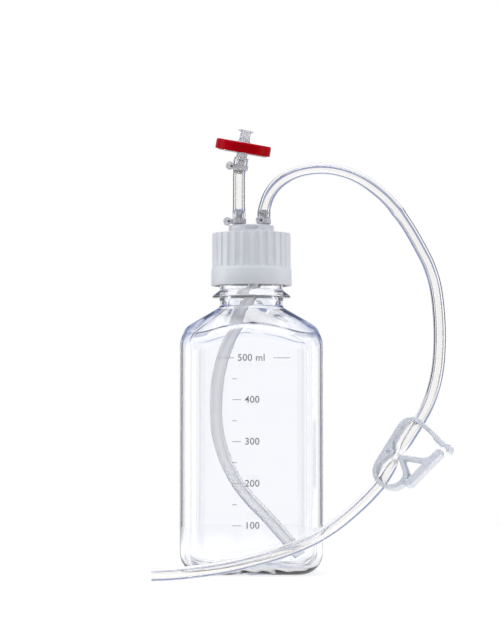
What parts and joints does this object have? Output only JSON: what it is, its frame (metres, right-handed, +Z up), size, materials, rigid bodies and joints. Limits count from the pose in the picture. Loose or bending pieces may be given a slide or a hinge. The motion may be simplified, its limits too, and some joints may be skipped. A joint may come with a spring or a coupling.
{
  "type": "wash bottle",
  "caption": "Clear square laboratory bottle with a fluted screw ring, two-port insert, tilted vent filter, curved dip tube and a long dispensing tube with a pinch clamp.",
  "frame": {"origin": "centre of the bottle's base, on the surface that it stands on", "axes": "+Z up along the bottle's axis, -Y towards the face with the graduations, +X towards the dispensing port"},
  "size_m": [0.1526, 0.1192, 0.2316],
  "materials": {
    "clear_body": "clear, glossy, with a faint cool tint",
    "ring_plastic": "satin moulded polypropylene",
    "insert_plastic": "satin, slightly translucent",
    "gasket_rubber": "soft silicone",
    "silicone_tubing": "translucent silicone",
    "tie_nylon": "natural translucent nylon",
    "filter_housing": "clear, glossy",
    "filter_red": "glossy over-moulded band",
    "filter_media": "matte membrane",
    "clamp_plastic": "natural translucent moulding"
  },
  "bodies": {
    "bottle": {"bottle": "clear_body"},
    "gasket": {"closure_gasket": "gasket_rubber"},
    "cap_ring": {"cap_ring": "ring_plastic"},
    "insert": {"port_insert": "insert_plastic", "vent_tube": "silicone_tubing", "vent_tie_lower": "tie_nylon", "vent_tie_upper": "tie_nylon", "dispensing_tie": "tie_nylon", "filter_lower_shell": "filter_housing", "filter_upper_shell": "filter_housing", "filter_band": "filter_red", "filter_membrane": "filter_media", "membrane_support": "filter_housing", "dispensing_tube": "silicone_tubing", "dip_tube": "silicone_tubing", "clamp_frame": "clamp_plastic"},
    "clamp_jaw": {"clamp_jaw_arm": "clamp_plastic"},
    "clamp_latch": {"clamp_latch_arm": "clamp_plastic"}
  },
  "joints": [
    {"name": "closure_lift", "type": "slide", "parent": "bottle", "child": "gasket", "axis": [0, 0, 1], "range_m": [0, 0.00634]},
    {"name": "cap_turn", "type": "hinge", "parent": "gasket", "child": "cap_ring", "pos_m": [0, 0, 0.163], "axis": [0, 0, 1], "range_deg": [0, 540]},
    {"name": "insert_swivel", "type": "hinge", "parent": "gasket", "child": "insert", "pos_m": [0, 0, 0.1726], "axis": [0, 0, 1], "range_deg": [-180, 180]},
    {"name": "clamp_jaw_open", "type": "hinge", "parent": "insert", "child": "clamp_jaw", "pos_m": [0.07731, -0.03295, 0.04727], "axis": [0.2479, 0.9563, -0.1549], "range_deg": [0, 22]},
    {"name": "clamp_latch_flex", "type": "hinge", "parent": "insert", "child": "clamp_latch", "pos_m": [0.0903, -0.03202, 0.07383], "axis": [-0.2479, -0.9563, 0.1549], "range_deg": [0, 12], "stiffness_Nm_per_rad": 0.05}
  ],
  "couplings": [
    {"joint": "cap_turn", "follows": "closure_lift", "rad_per_m": 1484.3}
  ]
}
